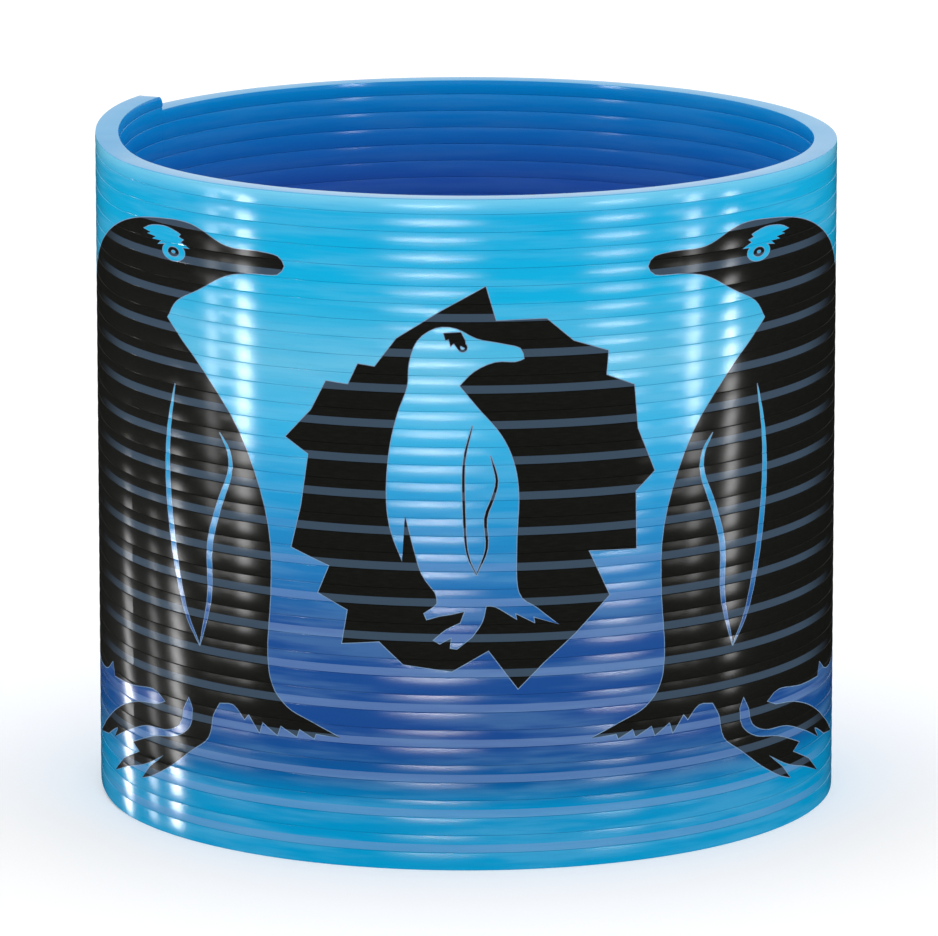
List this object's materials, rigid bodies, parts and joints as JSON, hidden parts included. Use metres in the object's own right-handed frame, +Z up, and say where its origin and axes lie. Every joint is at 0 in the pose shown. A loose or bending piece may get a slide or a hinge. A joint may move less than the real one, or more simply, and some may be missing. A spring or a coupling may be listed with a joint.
{
  "type": "spring coil toy",
  "caption": "Closed plastic spring coil toy: a flat strip wound into a tall left-handed helix that stretches upwards and bends over into an arch.",
  "frame": {"origin": "centre of the coil on the plane it stands on, under its lowest turn", "axes": "+Z up along the coil's axis; -Y faces the middle of the printed front; the coil folds over towards -X"},
  "size_m": [0.075, 0.075, 0.0687],
  "materials": {
    "cyan_plastic": "gloss",
    "azure_plastic": "gloss",
    "blue_plastic": "gloss",
    "deep_blue_plastic": "gloss",
    "ocean_plastic": "gloss",
    "lagoon_plastic": "gloss"
  },
  "bodies": {
    "turn_01": {"coil_turn_01": "lagoon_plastic"},
    "turn_02": {"coil_turn_02": "lagoon_plastic"},
    "turn_03": {"coil_turn_03": "lagoon_plastic"},
    "turn_04": {"coil_turn_04": "lagoon_plastic"},
    "turn_05": {"coil_turn_05": "ocean_plastic"},
    "turn_06": {"coil_turn_06": "ocean_plastic"},
    "turn_07": {"coil_turn_07": "ocean_plastic"},
    "turn_08": {"coil_turn_08": "deep_blue_plastic"},
    "turn_09": {"coil_turn_09": "deep_blue_plastic"},
    "turn_10": {"coil_turn_10": "deep_blue_plastic"},
    "turn_11": {"coil_turn_11": "deep_blue_plastic"},
    "turn_12": {"coil_turn_12": "deep_blue_plastic"},
    "turn_13": {"coil_turn_13": "deep_blue_plastic"},
    "turn_14": {"coil_turn_14": "deep_blue_plastic"},
    "turn_15": {"coil_turn_15": "blue_plastic"},
    "turn_16": {"coil_turn_16": "blue_plastic"},
    "turn_17": {"coil_turn_17": "blue_plastic"},
    "turn_18": {"coil_turn_18": "blue_plastic"},
    "turn_19": {"coil_turn_19": "azure_plastic"},
    "turn_20": {"coil_turn_20": "azure_plastic"},
    "turn_21": {"coil_turn_21": "azure_plastic"},
    "turn_22": {"coil_turn_22": "azure_plastic"},
    "turn_23": {"coil_turn_23": "azure_plastic"},
    "turn_24": {"coil_turn_24": "azure_plastic"},
    "turn_25": {"coil_turn_25": "azure_plastic"},
    "turn_26": {"coil_turn_26": "cyan_plastic"},
    "turn_27": {"coil_turn_27": "cyan_plastic"},
    "turn_28": {"coil_turn_28": "cyan_plastic"},
    "turn_29": {"coil_turn_29": "cyan_plastic"},
    "turn_30": {"coil_turn_30": "cyan_plastic"},
    "turn_31": {"coil_turn_31": "cyan_plastic"},
    "turn_32": {"coil_turn_32": "cyan_plastic"},
    "turn_33": {"coil_turn_33": "cyan_plastic"},
    "turn_34": {"coil_turn_34": "cyan_plastic"},
    "turn_35": {"coil_turn_35": "cyan_plastic"},
    "turn_36": {"coil_turn_36": "cyan_plastic"},
    "turn_37": {"coil_turn_37": "cyan_plastic"},
    "turn_38": {"coil_turn_38": "cyan_plastic"}
  },
  "joints": [
    {"name": "turn_02_slide", "type": "slide", "parent": "turn_01", "child": "turn_02", "axis": [0, 0, 1], "range_m": [0, 0.016]},
    {"name": "turn_03_slide", "type": "slide", "parent": "turn_01", "child": "turn_03", "axis": [0, 0, 1], "range_m": [0, 0.024]},
    {"name": "turn_04_slide", "type": "slide", "parent": "turn_01", "child": "turn_04", "axis": [0, 0, 1], "range_m": [0, 0.032], "stiffness_N_per_m": 7.5},
    {"name": "turn_05_fold", "type": "hinge", "parent": "turn_04", "child": "turn_05", "pos_m": [-0.0375, 0, 0.00782], "axis": [0, -1, 0], "range_deg": [0, 16.36], "stiffness_Nm_per_rad": 0.00667},
    {"name": "turn_06_slide", "type": "slide", "parent": "turn_05", "child": "turn_06", "axis": [0, 0, 1], "range_m": [0, 0.016]},
    {"name": "turn_07_slide", "type": "slide", "parent": "turn_05", "child": "turn_07", "axis": [0, 0, 1], "range_m": [0, 0.024], "stiffness_N_per_m": 10},
    {"name": "turn_08_fold", "type": "hinge", "parent": "turn_07", "child": "turn_08", "pos_m": [-0.0375, 0, 0.01312], "axis": [0, -1, 0], "range_deg": [0, 16.36], "stiffness_Nm_per_rad": 0.00667},
    {"name": "turn_09_slide", "type": "slide", "parent": "turn_08", "child": "turn_09", "axis": [0, 0, 1], "range_m": [0, 0.016]},
    {"name": "turn_10_slide", "type": "slide", "parent": "turn_08", "child": "turn_10", "axis": [0, 0, 1], "range_m": [0, 0.024], "stiffness_N_per_m": 10},
    {"name": "turn_11_fold", "type": "hinge", "parent": "turn_10", "child": "turn_11", "pos_m": [-0.0375, 0, 0.01843], "axis": [0, -1, 0], "range_deg": [0, 16.36], "stiffness_Nm_per_rad": 0.00667},
    {"name": "turn_12_slide", "type": "slide", "parent": "turn_11", "child": "turn_12", "axis": [0, 0, 1], "range_m": [0, 0.016]},
    {"name": "turn_13_slide", "type": "slide", "parent": "turn_11", "child": "turn_13", "axis": [0, 0, 1], "range_m": [0, 0.024], "stiffness_N_per_m": 10},
    {"name": "turn_14_fold", "type": "hinge", "parent": "turn_13", "child": "turn_14", "pos_m": [-0.0375, 0, 0.02374], "axis": [0, -1, 0], "range_deg": [0, 16.36], "stiffness_Nm_per_rad": 0.00667},
    {"name": "turn_15_slide", "type": "slide", "parent": "turn_14", "child": "turn_15", "axis": [0, 0, 1], "range_m": [0, 0.016]},
    {"name": "turn_16_slide", "type": "slide", "parent": "turn_14", "child": "turn_16", "axis": [0, 0, 1], "range_m": [0, 0.024], "stiffness_N_per_m": 10},
    {"name": "turn_17_fold", "type": "hinge", "parent": "turn_16", "child": "turn_17", "pos_m": [-0.0375, 0, 0.02906], "axis": [0, -1, 0], "range_deg": [0, 16.36], "stiffness_Nm_per_rad": 0.00667},
    {"name": "turn_18_slide", "type": "slide", "parent": "turn_17", "child": "turn_18", "axis": [0, 0, 1], "range_m": [0, 0.016]},
    {"name": "turn_19_slide", "type": "slide", "parent": "turn_17", "child": "turn_19", "axis": [0, 0, 1], "range_m": [0, 0.024], "stiffness_N_per_m": 10},
    {"name": "turn_20_fold", "type": "hinge", "parent": "turn_19", "child": "turn_20", "pos_m": [-0.0375, 0, 0.03436], "axis": [0, -1, 0], "range_deg": [0, 16.36], "stiffness_Nm_per_rad": 0.00667},
    {"name": "turn_21_slide", "type": "slide", "parent": "turn_20", "child": "turn_21", "axis": [0, 0, 1], "range_m": [0, 0.016]},
    {"name": "turn_22_slide", "type": "slide", "parent": "turn_20", "child": "turn_22", "axis": [0, 0, 1], "range_m": [0, 0.024], "stiffness_N_per_m": 10},
    {"name": "turn_23_fold", "type": "hinge", "parent": "turn_22", "child": "turn_23", "pos_m": [-0.0375, 0, 0.03968], "axis": [0, -1, 0], "range_deg": [0, 16.36], "stiffness_Nm_per_rad": 0.00667},
    {"name": "turn_24_slide", "type": "slide", "parent": "turn_23", "child": "turn_24", "axis": [0, 0, 1], "range_m": [0, 0.016]},
    {"name": "turn_25_slide", "type": "slide", "parent": "turn_23", "child": "turn_25", "axis": [0, 0, 1], "range_m": [0, 0.024], "stiffness_N_per_m": 10},
    {"name": "turn_26_fold", "type": "hinge", "parent": "turn_25", "child": "turn_26", "pos_m": [-0.0375, 0, 0.04498], "axis": [0, -1, 0], "range_deg": [0, 16.36], "stiffness_Nm_per_rad": 0.00667},
    {"name": "turn_27_slide", "type": "slide", "parent": "turn_26", "child": "turn_27", "axis": [0, 0, 1], "range_m": [0, 0.016]},
    {"name": "turn_28_slide", "type": "slide", "parent": "turn_26", "child": "turn_28", "axis": [0, 0, 1], "range_m": [0, 0.024], "stiffness_N_per_m": 10},
    {"name": "turn_29_fold", "type": "hinge", "parent": "turn_28", "child": "turn_29", "pos_m": [-0.0375, 0, 0.05029], "axis": [0, -1, 0], "range_deg": [0, 16.36], "stiffness_Nm_per_rad": 0.00667},
    {"name": "turn_30_slide", "type": "slide", "parent": "turn_29", "child": "turn_30", "axis": [0, 0, 1], "range_m": [0, 0.016]},
    {"name": "turn_31_slide", "type": "slide", "parent": "turn_29", "child": "turn_31", "axis": [0, 0, 1], "range_m": [0, 0.024], "stiffness_N_per_m": 10},
    {"name": "turn_32_fold", "type": "hinge", "parent": "turn_31", "child": "turn_32", "pos_m": [-0.0375, 0, 0.05561], "axis": [0, -1, 0], "range_deg": [0, 16.36], "stiffness_Nm_per_rad": 0.00667},
    {"name": "turn_33_slide", "type": "slide", "parent": "turn_32", "child": "turn_33", "axis": [0, 0, 1], "range_m": [0, 0.016]},
    {"name": "turn_34_slide", "type": "slide", "parent": "turn_32", "child": "turn_34", "axis": [0, 0, 1], "range_m": [0, 0.024], "stiffness_N_per_m": 10},
    {"name": "turn_35_fold", "type": "hinge", "parent": "turn_34", "child": "turn_35", "pos_m": [-0.0375, 0, 0.06091], "axis": [0, -1, 0], "range_deg": [0, 16.36], "stiffness_Nm_per_rad": 0.00667},
    {"name": "turn_36_slide", "type": "slide", "parent": "turn_35", "child": "turn_36", "axis": [0, 0, 1], "range_m": [0, 0.016]},
    {"name": "turn_37_slide", "type": "slide", "parent": "turn_35", "child": "turn_37", "axis": [0, 0, 1], "range_m": [0, 0.024]},
    {"name": "turn_38_slide", "type": "slide", "parent": "turn_35", "child": "turn_38", "axis": [0, 0, 1], "range_m": [0, 0.032], "stiffness_N_per_m": 7.5}
  ],
  "couplings": [
    {"joint": "turn_02_slide", "follows": "turn_04_slide", "ratio": 0.5},
    {"joint": "turn_03_slide", "follows": "turn_04_slide", "ratio": 0.75},
    {"joint": "turn_06_slide", "follows": "turn_04_slide", "ratio": 0.5},
    {"joint": "turn_07_slide", "follows": "turn_04_slide", "ratio": 0.75},
    {"joint": "turn_08_fold", "follows": "turn_05_fold", "ratio": 1},
    {"joint": "turn_09_slide", "follows": "turn_04_slide", "ratio": 0.5},
    {"joint": "turn_10_slide", "follows": "turn_04_slide", "ratio": 0.75},
    {"joint": "turn_11_fold", "follows": "turn_05_fold", "ratio": 1},
    {"joint": "turn_12_slide", "follows": "turn_04_slide", "ratio": 0.5},
    {"joint": "turn_13_slide", "follows": "turn_04_slide", "ratio": 0.75},
    {"joint": "turn_14_fold", "follows": "turn_05_fold", "ratio": 1},
    {"joint": "turn_15_slide", "follows": "turn_04_slide", "ratio": 0.5},
    {"joint": "turn_16_slide", "follows": "turn_04_slide", "ratio": 0.75},
    {"joint": "turn_17_fold", "follows": "turn_05_fold", "ratio": 1},
    {"joint": "turn_18_slide", "follows": "turn_04_slide", "ratio": 0.5},
    {"joint": "turn_19_slide", "follows": "turn_04_slide", "ratio": 0.75},
    {"joint": "turn_20_fold", "follows": "turn_05_fold", "ratio": 1},
    {"joint": "turn_21_slide", "follows": "turn_04_slide", "ratio": 0.5},
    {"joint": "turn_22_slide", "follows": "turn_04_slide", "ratio": 0.75},
    {"joint": "turn_23_fold", "follows": "turn_05_fold", "ratio": 1},
    {"joint": "turn_24_slide", "follows": "turn_04_slide", "ratio": 0.5},
    {"joint": "turn_25_slide", "follows": "turn_04_slide", "ratio": 0.75},
    {"joint": "turn_26_fold", "follows": "turn_05_fold", "ratio": 1},
    {"joint": "turn_27_slide", "follows": "turn_04_slide", "ratio": 0.5},
    {"joint": "turn_28_slide", "follows": "turn_04_slide", "ratio": 0.75},
    {"joint": "turn_29_fold", "follows": "turn_05_fold", "ratio": 1},
    {"joint": "turn_30_slide", "follows": "turn_04_slide", "ratio": 0.5},
    {"joint": "turn_31_slide", "follows": "turn_04_slide", "ratio": 0.75},
    {"joint": "turn_32_fold", "follows": "turn_05_fold", "ratio": 1},
    {"joint": "turn_33_slide", "follows": "turn_04_slide", "ratio": 0.5},
    {"joint": "turn_34_slide", "follows": "turn_04_slide", "ratio": 0.75},
    {"joint": "turn_35_fold", "follows": "turn_05_fold", "ratio": 1},
    {"joint": "turn_36_slide", "follows": "turn_04_slide", "ratio": 0.5},
    {"joint": "turn_37_slide", "follows": "turn_04_slide", "ratio": 0.75},
    {"joint": "turn_38_slide", "follows": "turn_04_slide", "ratio": 1}
  ]
}
